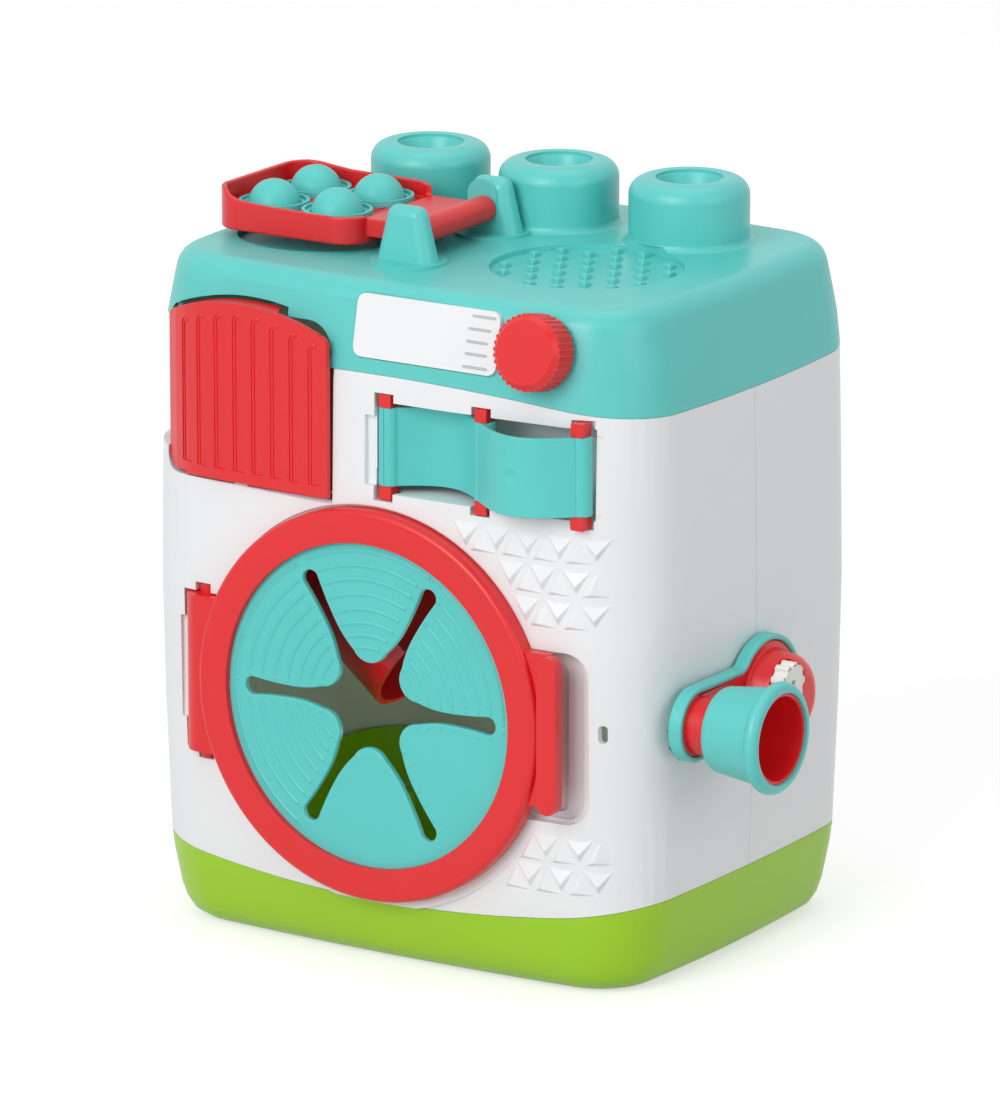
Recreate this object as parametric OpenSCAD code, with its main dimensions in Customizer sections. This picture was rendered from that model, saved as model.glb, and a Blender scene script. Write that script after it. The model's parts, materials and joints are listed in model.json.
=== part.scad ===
// Toy washing machine for toddlers: a moulded activity box with a drum door, a hopper flap,
// a snapping wave band, a dial, a crank with a cup handle and a flip-up tray of bubble poppers.
// The front looks along -Y. Z = 0 is the surface it stands on. All sizes are in millimetres.

/* [Body] */
// Width of the body at mid height
body_w = 242; // [230:1:250]
// Depth of the body at mid height
body_d = 192; // [188:1:196]
// Radius of the upright corners, seen from above
corner_r = 38; // [34:1:42]
// Wall thickness of the moulded shells
wall = 2.6; // [2.2:0.1:2.8]
// Height of the flat top of the cap
top_z = 276; // [275:0.5:277]

/* [Door] */
// Outer radius of the door ring
ring_r = 79.5; // [78:0.5:80]
// Visible radius of the petal disc
disc_r = 66; // [64:0.5:67]
// Height of the door centre
door_z = 108.3; // [107:0.1:109]

/* [Studs] */
// Radius of each stacking stud
stud_r = 24.2; // [22:0.1:25]
// Distance between neighbouring studs
stud_pitch = 61; // [58:1:62]
// Height of the studs' rims
stud_top_z = 301.8; // [292:0.1:304]

/* [Poppers] */
// Radius of a bubble dome
dome_r = 10.5; // [9.5:0.1:10.6]
// Distance between neighbouring bubbles
dome_pitch = 30; // [29.9:0.1:31]

/* [Dial] */
// Radius of the dial over its ribs
knob_r = 15.2; // [13:0.1:15.6]
// Number of ribs round the dial
knob_ribs = 36; // [24:1:40]

/* [Crank] */
// Distance from the crank's hub to the cup handle
crank_len = 53; // [50:1:56]
// Length of the cup handle
cup_len = 28.4; // [24:0.1:32]

/* [Hidden] */
$fn = 64;
eps = 0.01;
running_gap = 0.3;
pin_gap = 0.05;

teal = "#5fc9c4";
red = "#e03c40";
white = "#f2f2f2";
green = "#9fd23b";
grey = "#8d9095";

// Outline of the body seen from above: round corners and slightly bowed faces
bow_slope = 0.035;
face_steps = 3;
corner_steps = 9;
function corner_x(w, d, r) = w / 2 - r - bow_slope * (d / 2 - r);
function corner_y(w, d, r) = d / 2 - r - bow_slope * (w / 2 - r);
function corner_arc(w, d, r) =
    [for (i = [0:corner_steps]) let (t = 4 + 82 * i / corner_steps)
        [corner_x(w, d, r) + r * cos(t), corner_y(w, d, r) + r * sin(t)]];
function right_face(w, d, r) =
    let (end = corner_arc(w, d, r)[0])
    [for (i = [0:face_steps - 1]) let (t = i / face_steps)
        [w / 2 - (w / 2 - end[0]) * t * t, end[1] * t]];
function back_face(w, d, r) =
    let (end = corner_arc(w, d, r)[corner_steps])
    [for (i = [face_steps - 1:-1:0]) let (t = i / face_steps)
        [end[0] * t, d / 2 - (d / 2 - end[1]) * t * t]];
function quadrant(w, d, r) = concat(right_face(w, d, r), corner_arc(w, d, r), back_face(w, d, r));
function reversed(p) = [for (i = [len(p) - 1:-1:0]) p[i]];
function half_plan(w, d, r) =
    let (q = quadrant(w, d, r)) concat(q, [for (p = reversed(q)) if (p[0] > eps) [-p[0], p[1]]]);
function full_plan(w, d, r) =
    let (h = half_plan(w, d, r)) concat(h, [for (p = reversed(h)) if (p[1] > eps) [p[0], -p[1]]]);
module plan(inset, r = corner_r) {
    polygon(full_plan(body_w - 2 * inset, body_d - 2 * inset, r - inset));
}

// Side profile of the body: [height, inset from the widest outline]
foot_profile = [[0, 20], [1.2, 15.5], [4, 11.2], [8, 8.6], [14, 6.6], [28, 3.9], [36, 2.9]];
wall_profile = [[90, 0.9], [140, 0], [190, 0.7], [236, 1.7], [248, 2.9], [256, 4.4], [264, 6]];
edge_r = 9.5;
edge_profile = [for (a = [15:15:90]) [top_z - edge_r + edge_r * sin(a), 16.2 - edge_r * cos(a)]];
profile = concat(foot_profile, wall_profile, edge_profile);
slice = 0.02;

// The body between two heights as one smooth block, shrunk by an offset on every side
module envelope(shrink, low, high) {
    hull() for (p = profile) if (p[0] >= low && p[0] <= high) {
        lift = p[0] < 20 ? shrink : p[0] > 255 ? -shrink - slice : 0;
        translate([0, 0, p[0] + lift]) linear_extrude(slice) plan(p[1] + shrink);
    }
}

// Drums lying along Y whose tops and bottoms are the arched joint lines of the front
cap_line_z = 241.5;
cap_line_r = 900;
tray_line_z = 26.5;
tray_line_r = 600;
module below_cap_line(gap = 0) {
    translate([0, 0, cap_line_z - cap_line_r]) rotate([90, 0, 0])
        cylinder(r = cap_line_r - gap, h = 400, center = true, $fn = 360);
}
module above_tray_line(gap = 0) {
    translate([0, 0, tray_line_z + tray_line_r]) rotate([90, 0, 0])
        cylinder(r = tray_line_r - gap, h = 400, center = true, $fn = 360);
}

// Turns local Z to the front (-Y) or to the right (+X)
module to_front(x, y, z) { translate([x, y, z]) rotate([90, 0, 0]) children(); }
module to_right(x, y, z) { translate([x, y, z]) rotate([90, 0, 90]) children(); }

module rounded_bar(w, h, depth, r) {
    linear_extrude(depth) {
        square([w - 2 * r, h], center = true);
        square([w, h - 2 * r], center = true);
        for (x = [-1, 1], y = [-1, 1]) translate([x * (w / 2 - r), y * (h / 2 - r)]) circle(r);
    }
}

seam_y = -4;
seam_gap = 0.1;
line_gap = 0.2;
post_x = 88;
post_y = 62;
post_r = 5;

// Upright ring inside the tray's wall that locates the shells
tongue_inset = 7;
tongue_thick = 2;
tongue_low = 18;
tongue_high = 42;
module tongue() translate([0, 0, tongue_low]) linear_extrude(tongue_high - tongue_low) difference() {
    plan(tongue_inset);
    plan(tongue_inset + tongue_thick);
}

screw_r = 2;
module corner_posts() for (x = [-1, 1], y = [-1, 1]) translate([x * post_x, y * post_y, 0]) children();

// Green tray that the machine stands on
module base_tray() color(green) difference() {
    union() {
        difference() {
            envelope(0, 0, 90);
            envelope(wall, 0, 90);
            above_tray_line();
        }
        difference() {
            tongue();
            to_front(door_x, -60, door_z) cylinder(r = collar_r + 3, h = 60, $fn = 144);
        }
        corner_posts() translate([0, 0, 0.5]) cylinder(r = post_r, h = 20);
    }
    corner_posts() translate([0, 0, -1]) cylinder(r = screw_r + 0.05, h = 30);
    corner_posts() translate([0, 0, -1]) cylinder(r = 4, h = 5);
}

// Door seat, collar and the sockets that hold the hinge
seat_y = -93.4;
collar_r = 70;
collar_back_y = -80;
hinge_x = -81.5;
hinge_y = -89;
barrel_r = 8.6;
hinge_low = 76.6;
hinge_high = 141;
hinge_pin_r = 1.6;
hinge_pin_reach = 7;
lug_r = 3.4;
lug_h = 3.6;
door_x = 0.5;
recess_z = 106.4;
recess_y = -86;
pocket_x = 81.45;
pocket_y = -84;
key_x = 101.2;
key_z = 109.1;

// Window for the wave band
window_low = 194.5;
window_high = 231;
window_left = 1;
window_right = 98.5;
window_back = -68;
rod_x = [5.3, 49.5, 93.5];
rod_y = -90;
rod_r = 2.2;
band_low = 197;
band_high = 228.6;

// Hopper opening at the top left corner
flap_left = -102.6;
flap_right = -19;
flap_low = 189.5;
flap_pivot_y = -91.6;
flap_pivot_z = 191;
flap_front_y = 2.4;
flap_corner = 48;
flap_skin = 2.6;
flap_bar_r = 2.5;
flap_pin_r = 1;
flap_pin_left = -82;
flap_pin_right = -12;
flap_lug_x = -66;
flap_lug_w = 6;
sill_z = flap_low - 1.6;

// Arched front outline of the flap, drawn in X and Z
arch_x = -60;
arch_z = 262;
arch_r = 96;
module flap_outline(side, top) {
    intersection() {
        translate([flap_left - side, flap_low - top])
            square([flap_right - flap_left + 2 * side, 90]);
        translate([arch_x, arch_z - arch_r]) circle(arch_r + top, $fn = 120);
    }
}

// What a rounded corner takes off: the square beyond a circle, towards the corner
module corner_cut(x, z, r, side, up) translate([x, z]) difference() {
    translate([side < 0 ? -r - 4 : 0, up < 0 ? -r - 4 : 0]) square(r + 4);
    circle(r);
}
function arch_height(x, r) = arch_z - arch_r + sqrt(pow(arch_r - r, 2) - pow(x - arch_x, 2));
module rounded_outline(side, top) difference() {
    more = top - side;
    flap_outline(side, top);
    corner_cut(flap_left + 6, flap_low + 6 - more, 6 + side, -1, -1);
    corner_cut(flap_left + 5, arch_height(flap_left + 5, 5 - more), 5 + side, -1, 1);
    corner_cut(flap_right - 4, arch_height(flap_right - 4, 4 - more), 4 + side, 1, 1);
}

// Hole under the flap, its finger gap at the top right and the way round the left corner
gap_x = -42.2;
gap_z = 246.4;
module hopper_hole() {
    to_front(0, -55, 0) linear_extrude(60) difference() {
        rounded_outline(0.6, 1.6);
        translate([gap_x, cap_line_z - 0.3]) square(60);
    }
    to_front(gap_x, -55, gap_z) rounded_bar(44, 24, 60, 11.9);
    translate([-130, -110, 197]) cube([30, 50, 52]);
}

// Bevel on the sill's outer edge, where the flap's lower edge swings
module sill_bevel() translate([flap_left - 0.4, -93.6, sill_z]) rotate([180 + 40, 0, 0])
    translate([0, 0, -4]) cube([flap_right - flap_left + 0.8, 8, 4]);

// Lug and boss on the front shell that carry the flap's pin
module flap_bearings() {
    translate([flap_lug_x, -93, sill_z - 7]) cube([flap_lug_w, 3.2, 7 + flap_pivot_z - sill_z]);
    flap_rod(1.8, flap_lug_x, flap_lug_x + flap_lug_w);
    translate([flap_right + 0.7, -93.6, sill_z - 1]) cube([8, 4.6, 7]);
}

module shell_skin() {
    difference() {
        intersection() {
            envelope(0, 10, 260);
            below_cap_line(line_gap);
            above_tray_line(line_gap);
        }
        envelope(wall, 8, 260);
    }
}

// Half round bearing blocks for the crank, split by the seam
bearing_x = 113.6;
module crank_bearing() to_right(bearing_x, hub_y, hub_z) cylinder(r = 9, h = 6);
module crank_bore() to_right(100, hub_y, hub_z) cylinder(r = shaft_r + pin_gap, h = 40, $fn = 48);

frame_depth = 27;
box_wall = 2;
module window_frame() {
    difference() {
        translate([window_left - 6.5, -93.4, window_low - 6.5])
            cube([window_right - window_left + 10, frame_depth, window_high - window_low + 9]);
        translate([window_left - 0.5, -94, window_low - 0.5])
            cube([window_right - window_left + 1, frame_depth - box_wall, window_high - window_low + 1]);
    }
}

// Round relief in the hinge pocket's edge, where the ring's rim swings past
rim_swing_r = 12.6;
module rim_relief() translate([hinge_x, hinge_y, 88]) intersection() {
    cylinder(r = rim_swing_r, h = 42);
    translate([-rim_swing_r - 1, -rim_swing_r - 1, 0]) cube([rim_swing_r + 1, rim_swing_r + 1.6, 42]);
}

// Door seat, collar, hinge socket and the backs of the recess and window, kept inside the skin
module front_backing() intersection() {
    union() {
        to_front(door_x, seat_y + 3, door_z) cylinder(r = ring_r + 4, h = 3.6, $fn = 144);
        to_front(door_x, collar_back_y, door_z) cylinder(r = collar_r + 2.4, h = 12, $fn = 144);
        window_frame();
        to_front(75.5, recess_y + 4.4, recess_z) rounded_bar(44, 75, 8, 10);
        translate([hinge_x - 15, -92, hinge_low - 10])
            cube([26.6, 14.6, hinge_high - hinge_low + 20]);
    }
    translate([0, 0, 20]) linear_extrude(220) plan(2);
    above_tray_line(line_gap);
}

module front_shell() color(white) {
    difference() {
        union() {
            difference() {
                union() {
                    shell_skin();
                    front_backing();
                }
                hopper_hole();
                sill_bevel();
            }
            flap_bearings();
            crank_bearing();
        }
        translate([-200, seam_y - seam_gap, -10]) cube([400, 200, 400]);
        to_front(door_x, -60, door_z) cylinder(r = collar_r, h = 60, $fn = 144);
        to_front(door_x, seat_y, door_z) cylinder(r = ring_r + 1, h = 30, $fn = 144);
        // finger recess with a softened edge, the catch pocket in it and the key slot beside it
        to_front(75.3, recess_y, recess_z) rounded_bar(36.6, 67.2, 30, 8);
        to_front(76.7, recess_y - 1.7, recess_z) rounded_bar(39.4, 69.8, 30, 9.4);
        to_front(pocket_x, pocket_y, 105) rounded_bar(7.7, 60, 10, 3.8);
        to_front(key_x, -60, key_z) rounded_bar(3.2, 7.2, 50, 1.5);
        // hinge pocket with its lug notches and the pin's bore
        rim_relief();
        translate([hinge_x - 10.1, -110, hinge_low - 0.6])
            cube([20.2, 110 + hinge_y + barrel_r + 0.6, hinge_high - hinge_low + 1.2]);
        translate([hinge_x - lug_r - 0.4, -110, hinge_low - lug_h - 0.6])
            cube([2 * lug_r + 0.8, 110 + hinge_y, hinge_high - hinge_low + 2 * lug_h + 1.2]);
        translate([hinge_x, hinge_y, hinge_low - lug_h - 0.6])
            cylinder(r = lug_r + 0.4, h = hinge_high - hinge_low + 2 * lug_h + 1.2);
        translate([hinge_x, hinge_y, hinge_low - hinge_pin_reach - 0.2])
            cylinder(r = hinge_pin_r + 0.02, h = hinge_high - hinge_low + 2 * hinge_pin_reach + 0.4);
        // window, its lug notches and the step beside it
        translate([window_left, -110, window_low])
            cube([window_right - window_left, 30, window_high - window_low]);
        for (x = rod_x) translate([x - 4.4, -110, window_low - 3.4])
            cube([8.8, 110 - 86, window_high - window_low + 6.8]);
        translate([window_left - 4.4, -110, window_low + 2.5]) cube([6, 110 - 92.4, 28]);
        crank_bore();
        flap_rod(flap_pin_r + 0.02, flap_pin_left, flap_pin_right + 0.4);
    }
}

module rear_shell() color(white) difference() {
    union() {
        shell_skin();
        crank_bearing();
    }
    translate([-200, seam_y - 200 + seam_gap, -10]) cube([400, 200, 400]);
    crank_bore();
}

// Stacking stud with a dished top
module stud(x) translate([x, stud_y, 0]) rotate_extrude($fn = 96) stud_half();
stud_y = 42;
stud_edge = 7;
dish_r = 13.5;
dish_depth = 9;
module stud_half() difference() {
    union() {
        translate([0, top_z - 1]) square([stud_r, stud_top_z - stud_edge - top_z + 1]);
        translate([0, top_z - 1]) square([stud_r - stud_edge, stud_top_z - top_z + 1]);
        translate([stud_r - stud_edge, stud_top_z - stud_edge]) circle(stud_edge);
        translate([0, top_z - 1]) square([stud_r + 3, 4]);
    }
    translate([0, stud_top_z - dish_depth]) square([dish_r - 4, dish_depth + 1]);
    translate([0, stud_top_z - dish_depth + 4]) square([dish_r, dish_depth]);
    translate([dish_r - 4, stud_top_z - dish_depth + 4]) circle(4);
    translate([stud_r + 3, top_z + 3]) circle(3);
    translate([-50, 0]) square([50, 400]);
}

ear_x = -12;
ear_front_y = -50;
ear_rear_y = 11.8;
ear_thick = 11;
tray_axis_z = 286.8;
tray_pin_r = 2;

// Ear that carries one end of the tray's hinge pin
module ear(y) {
    hull() {
        for (x = [-8.5, 8.5], s = [-1, 1])
            translate([ear_x + x, y + s * 0.6, top_z - 1]) cylinder(r = 5, h = 0.5, $fn = 24);
        for (x = [-4, 4]) translate([ear_x + x, y, 294.2]) sphere(4.8, $fn = 24);
    }
    translate([ear_x, y, top_z - 0.5]) cylinder(r = 15.5, h = 1.6);
}

// Flat round-topped pad on the rear ear, beside the tray's knuckle
ear_pad_x = ear_x - 1.6;
ear_pad_z = 291.8;
ear_pad_r = 6.9;
module ear_pad() {
    to_front(ear_pad_x, ear_rear_y - 3, ear_pad_z) cylinder(r = ear_pad_r, h = 2.6);
    translate([ear_pad_x - ear_pad_r + 0.1, ear_rear_y - 5.6, top_z - 1])
        cube([2 * ear_pad_r - 0.2, 2.6, ear_pad_z - top_z + 1]);
}

pad_x = 51;
pad_y = -18.5;
pad_r = 38.5;
dish_x = -69;
dish_y = -25;

module top_cap() color(teal) difference() {
    union() {
        difference() {
            envelope(0, 190, 300);
            envelope(wall, 190, 300);
            below_cap_line();
        }
        for (i = [-1:1]) stud(i * stud_pitch);
        ear(ear_front_y);
        ear(ear_rear_y);
        ear_pad();
        // thicker roof under the two round recesses
        translate([pad_x, pad_y, top_z - 5]) cylinder(r = pad_r + 2, h = 4, $fn = 96);
        translate([dish_x, dish_y, top_z - 6]) cylinder(r = 36, h = 5, $fn = 96);
        // boss behind the dial
        dial_place() translate([0, 0, -14]) cylinder(r = 8, h = 12.4);
    }
    translate([pad_x, pad_y, top_z - 2]) cylinder(r = pad_r, h = 4, $fn = 96);
    translate([dish_x, dish_y, top_z - 3]) cylinder(r = 34, h = 5, $fn = 96);
    translate([ear_x, ear_front_y - 4, tray_axis_z]) rotate([-90, 0, 0])
        cylinder(r = tray_pin_r + 0.02, h = ear_rear_y - ear_front_y + 8, $fn = 48);
    dial_place() translate([0, 0, -30]) cylinder(r = dial_shaft_r + pin_gap, h = 60, $fn = 48);
    badge_block(0.4, 8);
    hopper_hole();
}

// The front of the cap leans back by this angle
lean = 11.3;
badge_thick = 2;
badge_x = 23;
module badge_block(grow, depth) translate([badge_x, -89.2, 259.5]) rotate([90 - lean, 0, 0]) difference() {
    rounded_bar(66 + 2 * grow, 25 + 2 * grow, depth, 4 + grow);
    translate([dial_x - badge_x, dial_z - 259.5, -1]) cylinder(r = 19.6 - grow, h = depth + 2, $fn = 96);
}
module badge_plate() color(white) badge_block(0, badge_thick);

// Red trough that leads from the hopper down to the drum
ramp_r = 40;
ramp_skin = 2.4;
ramp_len = 104;
ramp_slope = 40;
module ball_ramp() color(red) {
    ramp_trough();
    translate([-48, collar_back_y, 158]) cube([10, 5, 9]);
}
module ramp_trough() translate([1, -38, 123]) rotate([0, ramp_slope, 0])
    translate([-ramp_len, 0, 0]) rotate([90, 0, 90]) linear_extrude(ramp_len) difference() {
        circle(ramp_r, $fn = 96);
        circle(ramp_r - ramp_skin, $fn = 96);
        translate([-60, 4]) square([120, 60]);
    }

// Springy strip that snaps between its rods
band_amp = 12;
band_half = 1.1;
band_steps = 28;
span = rod_x[2] - rod_x[0];
function band_y(x) = rod_y - 3.6 + band_amp * sin(360 * (x - rod_x[0]) / span);
module band_strip() linear_extrude(band_high - band_low)
    polygon(concat(
        [for (i = [0:band_steps]) let (x = rod_x[0] + span * i / band_steps) [x, band_y(x) - band_half]],
        [for (i = [band_steps:-1:0]) let (x = rod_x[0] + span * i / band_steps) [x, band_y(x) + band_half]]));
module wave_band() color(teal) difference() {
    union() {
        translate([0, 0, band_low]) band_strip();
        for (x = rod_x) translate([x, rod_y, band_low]) cylinder(r = 4.4, h = band_high - band_low);
    }
    for (x = rod_x) translate([x, rod_y, band_low - 1])
        cylinder(r = rod_r, h = band_high - band_low + 2);
    translate([rod_x[0] + span * 0.75, rod_y - 3.6 - band_amp - band_half - 9.2, 212.5]) sphere(10);
}

// Upright rod with keyed lugs that sit in the window's notches
module band_rod(x) color(red) {
    translate([x, rod_y, window_low - 1]) cylinder(r = rod_r, h = window_high - window_low + 2);
    for (end = [[window_low - 3, band_low], [band_high, window_high + 3]]) {
        translate([x - 2.6, rod_y - 4.2, end[0]]) cube([5.6, 6.4, end[1] - end[0]]);
    }
}
module band_rod_left() band_rod(rod_x[0]);
module band_rod_middle() band_rod(rod_x[1]);
module band_rod_right() band_rod(rod_x[2]);

module housing_screws() color(grey) corner_posts() {
    translate([0, 0, 1.6]) cylinder(r = 3.6, h = 2.4);
    translate([0, 0, 3]) cylinder(r = screw_r, h = 17);
}

// Door
ring_front_y = -101.2;
ring_back_y = seat_y - running_gap;
ring_thick = ring_back_y - ring_front_y;
crown_r = 11;
disc_front_y = -98.3;
disc_thick = 2.4;
disc_edge_r = 69.6;
clamp_thick = 1.9;
clamp_hole_r = 62;
clamp_screw_ring = 67.8;
clamp_screw_r = 0.9;
module ring_half() difference() {
    intersection() {
        translate([disc_r, 0]) square([ring_r - disc_r, ring_thick]);
        translate([(ring_r + disc_r) / 2, ring_thick - crown_r]) circle(crown_r, $fn = 96);
    }
    translate([0, -1]) square([disc_edge_r + 0.1, ring_back_y - disc_front_y + 1]);
}
grip_x = 85.75;
grip_w = 8.7;
grip_front_y = -103.6;
grip_thick = 5;
module door_ring() color(red) difference() {
    union() {
        to_front(door_x, ring_back_y, door_z) rotate_extrude($fn = 144) ring_half();
        // hinge barrel with its lugs, and the web that joins it to the ring
        translate([hinge_x, hinge_y, hinge_low]) cylinder(r = barrel_r, h = hinge_high - hinge_low);
        translate([hinge_x, hinge_y, hinge_low - lug_h])
            cylinder(r = lug_r, h = hinge_high - hinge_low + 2 * lug_h);
        translate([hinge_x, hinge_y - barrel_r, hinge_low])
            cube([18, ring_back_y - hinge_y + barrel_r, hinge_high - hinge_low]);
        // grip on its sunk web, with the catch rib behind
        translate([68, -99, 79.5]) cube([16, 4, 62]);
        to_front(grip_x, grip_front_y + grip_thick, 109.8) rounded_bar(grip_w, 63.5, grip_thick, 4.3);
        translate([81.8, grip_front_y + 1, 94]) cube([1.8, 17.6, 30]);
    }
    translate([hinge_x, hinge_y, 0]) cylinder(r = hinge_pin_r + pin_gap, h = 200, $fn = 32);
    to_front(door_x, -85, door_z) cylinder(r = disc_r, h = 60, $fn = 144);
    to_front(door_x, -85, door_z) cylinder(r = disc_edge_r + 0.1, h = -85 - disc_front_y, $fn = 144);
    clamp_screw_places() cylinder(r = clamp_screw_r + 0.02, h = 5.4);
}
module clamp_screw_places() for (i = [0:5]) to_front(door_x, ring_back_y - 0.6, door_z)
    rotate(60 * i + 30) translate([clamp_screw_ring, 0, 0]) children();

module door_hinge_pin() color(grey) translate([hinge_x, hinge_y, hinge_low - hinge_pin_reach])
    cylinder(r = hinge_pin_r, h = hinge_high - hinge_low + 2 * hinge_pin_reach, $fn = 32);

// Slots between the petals: a round end, a narrow neck and a flare to the petals' round tips
petals = 6;
slot_r = 55;
slot_end = 3.6;
neck_x = 36;
neck_half = 2.3;
tip_circle_r = 8.5;
tip_x = 25.8 * cos(30);
tip_y = 25.8 * sin(30);
function slot_half(x) = x < neck_x
    ? neck_half + (tip_y - tip_circle_r - neck_half) * pow((neck_x - x) / (neck_x - tip_x), 2)
    : neck_half + (slot_end - neck_half) * pow((x - neck_x) / (slot_r - neck_x), 2);
slot_side = concat(
    [for (t = [210:10:270]) [tip_x + tip_circle_r * cos(t), tip_y + tip_circle_r * sin(t)]],
    [for (i = [1:12]) let (x = tip_x + (slot_r - tip_x) * i / 12) [x, slot_half(x)]]);
module star(depth) linear_extrude(depth) for (i = [0:petals - 1]) rotate(360 / petals * i) {
    translate([slot_r, 0]) circle(slot_end);
    polygon(concat([[0, 0]], slot_side, [for (p = reversed(slot_side)) [p[0], -p[1]]]));
}
module petal_disc() color(teal) difference() {
    to_front(door_x, disc_front_y + disc_thick, door_z) difference() {
        cylinder(r = disc_edge_r, h = disc_thick, $fn = 144);
        translate([0, 0, -1]) star(6);
    }
    clamp_screw_places() cylinder(r = clamp_screw_r + 0.02, h = 6);
}
module petal_clamp_ring() color(red) difference() {
    to_front(door_x, disc_front_y + disc_thick + clamp_thick, door_z) difference() {
        cylinder(r = disc_edge_r, h = clamp_thick, $fn = 144);
        translate([0, 0, -1]) cylinder(r = clamp_hole_r, h = 4, $fn = 144);
    }
    clamp_screw_places() cylinder(r = clamp_screw_r + 0.02, h = 6);
}
module clamp_screws() color(grey) clamp_screw_places() cylinder(r = clamp_screw_r, h = 5.3);

// Hopper flap
module flap_prism(shrink) translate([0, 0, 170]) linear_extrude(110)
    translate([0, -flap_front_y]) plan(shrink, flap_corner);
module flap_rod(radius, left, right) translate([left, flap_pivot_y, flap_pivot_z])
    rotate([0, 90, 0]) cylinder(r = radius, h = right - left, $fn = 48);
cheek_r = 56;
module flap_cheek(x) to_right(x, flap_pivot_y, flap_pivot_z) linear_extrude(2) intersection() {
    circle(cheek_r, $fn = 96);
    polygon([[0, 0], [-2, 80], [60, 80]]);
}

// Upright flutes with round ends in the flap's face, sunk to a depth
flute_pitch = 9.17;
flute_low = 194;
flute_margin = 7.5;
module flutes(width, depth) difference() {
    to_front(0, -60, 0) linear_extrude(60) for (i = [0:7]) {
        x = -89.1 + i * flute_pitch;
        top = arch_height(x, flute_margin);
        translate([x - width / 2, flute_low]) square([width, top - flute_low]);
        translate([x, top]) circle(width / 2, $fn = 24);
    }
    flap_prism(depth);
}
module hopper_flap() color(red) difference() {
    union() {
        intersection() {
            difference() {
                flap_prism(0);
                flap_prism(flap_skin);
            }
            to_front(0, -60, 0) linear_extrude(60) rounded_outline(0, 0);
        }
        intersection() {
            union() {
                flap_rod(flap_bar_r, -90, -22);
                flap_cheek(flap_left + 0.4);
                flap_cheek(-26);
            }
            flap_prism(0.5);
        }
    }
    flutes(5.8, 0.35);
    flutes(3.4, 0.65);
    flap_rod(flap_pin_r + pin_gap, flap_pin_left - 0.4, 0);
    flap_rod(3.4, flap_lug_x - 0.4, flap_lug_x + flap_lug_w + 0.4);
}
module flap_hinge_pin() color(grey) flap_rod(flap_pin_r, flap_pin_left, flap_pin_right);

// Dial
dial_x = 74.6;
dial_y = -88.9;
dial_z = 258.9;
dial_shaft_r = 3;
module dial_place() translate([dial_x, dial_y, dial_z]) rotate([90 - lean, 0, 0]) children();
function rib_outline(r, n, depth) =
    [for (i = [0:4 * n - 1]) let (a = 90 * i / n) (r - (i % 4 < 2 ? 0 : depth)) * [cos(a), sin(a)]];
module dial() color(red) dial_place() difference() {
    union() {
        translate([0, 0, 0.9]) linear_extrude(10.5) polygon(rib_outline(knob_r, knob_ribs, 0.7));
        translate([0, 0, 11.4 - eps]) cylinder(r1 = 14.4, r2 = 12.6, h = 2);
    }
    translate([0, 0, -1]) cylinder(r = dial_shaft_r, h = 8);
}
module dial_shaft() color(white) dial_place() translate([0, 0, -17]) cylinder(r = dial_shaft_r, h = 23.9);
module dial_clip() color(grey) dial_place() translate([0, 0, -15.8]) difference() {
    cylinder(r = 6.5, h = 1.5);
    translate([0, 0, -1]) cylinder(r = dial_shaft_r, h = 4);
}

// Flip-up tray of poppers
tray_left = -104;
tray_right = -35;
tray_front = -53;
tray_back = 11;
tray_low = 279.4;
tray_high = 296;
tray_floor_z = 285.5;
floor_thick = 1.8;
tray_wall = 2.2;
grid_x = -70;
grid_y = -20.5;
module tray_plan(shrink) translate([(tray_left + tray_right) / 2, (tray_front + tray_back) / 2]) {
    w = tray_right - tray_left - 2 * shrink;
    h = tray_back - tray_front - 2 * shrink;
    r = 12 - shrink;
    square([w - 2 * r, h], center = true);
    square([w, h - 2 * r], center = true);
    for (x = [-1, 1], y = [-1, 1]) translate([x * (w / 2 - r), y * (h / 2 - r)]) circle(r);
}
module popper_place() for (x = [-1, 1], y = [-1, 1])
    translate([grid_x + x * dome_pitch / 2, grid_y + y * dome_pitch / 2, 0]) children();
knuckle_len = ear_rear_y - ear_front_y - ear_thick - 2 * running_gap - 0.4;
knuckle_y = (ear_front_y + ear_rear_y - knuckle_len) / 2;
knuckle_r = 5.4;
arm_top_z = 289.4;
arm_low_z = 282;
arm_front = knuckle_y + 0.2;
arm_len = knuckle_len - 0.4;

// What is cut off the tray's walls: the front wall dips more than the rear one behind the raised end
module wall_tops() {
    to_front(0, -21, 0) linear_extrude(40) polygon([[-101.5, 300], [-101.5, 296], [-98.5, 295.2],
        [-95.5, 293.2], [-91, 291.8], [-82, 291], [-60, 290.5], [-30, 290.4], [-30, 300]]);
    to_front(0, 20, 0) linear_extrude(41) polygon([[-98, 300], [-98, 296], [-92, 295.5],
        [-86, 294.8], [-78, 294], [-60, 293.8], [-36, 293.2], [-30, 293], [-30, 300]]);
    translate([tray_right - 6, arm_front, arm_top_z]) cube([10, arm_len, 10]);
}

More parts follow.
